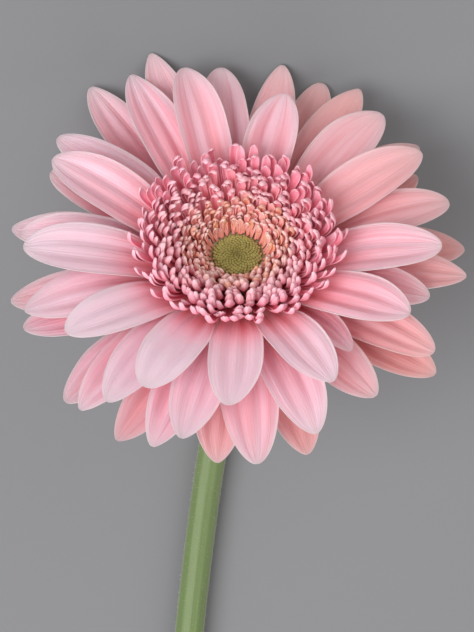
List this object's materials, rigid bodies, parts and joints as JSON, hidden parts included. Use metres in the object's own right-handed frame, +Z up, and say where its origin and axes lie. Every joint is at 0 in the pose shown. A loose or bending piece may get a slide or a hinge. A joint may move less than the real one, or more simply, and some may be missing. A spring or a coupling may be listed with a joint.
{
  "type": "cut gerbera",
  "caption": "Cut gerbera lying on its side: a leafless stalk along the table, and a wide head of long petals round a dished disc of short florets, its face turned up.",
  "frame": {"origin": "on the table, under the middle of the flower's bounding box", "axes": "+Z up off the table, +Y along the stalk from the head to the cut end, +X across the head"},
  "size_m": [0.11, 0.37, 0.0788],
  "materials": {
    "petal": "soft matt petal, faintly grooved along its length",
    "trans_floret": "soft matt petal, paler at the tips",
    "disc_floret": "soft matt, cream to peach",
    "disc_eye": "matt, closed buds",
    "receptacle": "matt plant flesh",
    "bract": "matt, finely haired",
    "scape": "satin, ribbed, finely haired"
  },
  "bodies": {
    "root": {"receptacle": "receptacle", "ray_floret_01": "petal", "ray_floret_02": "petal", "ray_floret_03": "petal", "ray_floret_04": "petal", "ray_floret_05": "petal", "ray_floret_06": "petal", "ray_floret_07": "petal", "ray_floret_08": "petal", "ray_floret_09": "petal", "ray_floret_10": "petal", "ray_floret_11": "petal", "ray_floret_12": "petal", "ray_floret_13": "petal", "ray_floret_14": "petal", "ray_floret_15": "petal", "ray_floret_16": "petal", "ray_floret_17": "petal", "ray_floret_18": "petal", "ray_floret_19": "petal", "ray_floret_20": "petal", "ray_floret_21": "petal", "ray_floret_22": "petal", "ray_floret_23": "petal", "ray_floret_24": "petal", "ray_floret_25": "petal", "ray_floret_26": "petal", "ray_floret_27": "petal", "ray_floret_28": "petal", "ray_floret_29": "petal", "ray_floret_30": "petal", "ray_floret_31": "petal", "ray_floret_32": "petal", "ray_floret_33": "petal", "ray_floret_34": "petal", "ray_floret_35": "petal", "ray_floret_36": "petal", "ray_floret_37": "petal", "ray_floret_38": "petal", "ray_floret_39": "petal", "ray_floret_40": "petal", "ray_floret_41": "petal", "ray_floret_42": "petal", "ray_floret_43": "petal", "ray_floret_44": "petal", "ray_floret_45": "petal", "ray_floret_46": "petal", "ray_floret_47": "petal", "ray_floret_48": "petal", "trans_florets_1": "trans_floret", "trans_florets_2": "trans_floret", "trans_florets_3": "trans_floret", "trans_florets_4": "trans_floret", "trans_florets_5": "trans_floret", "trans_florets_6": "trans_floret", "disc_florets": "disc_floret", "disc_eye": "disc_eye", "inner_bracts": "bract", "outer_bracts": "bract", "scape": "scape"}
  },
  "joints": []
}
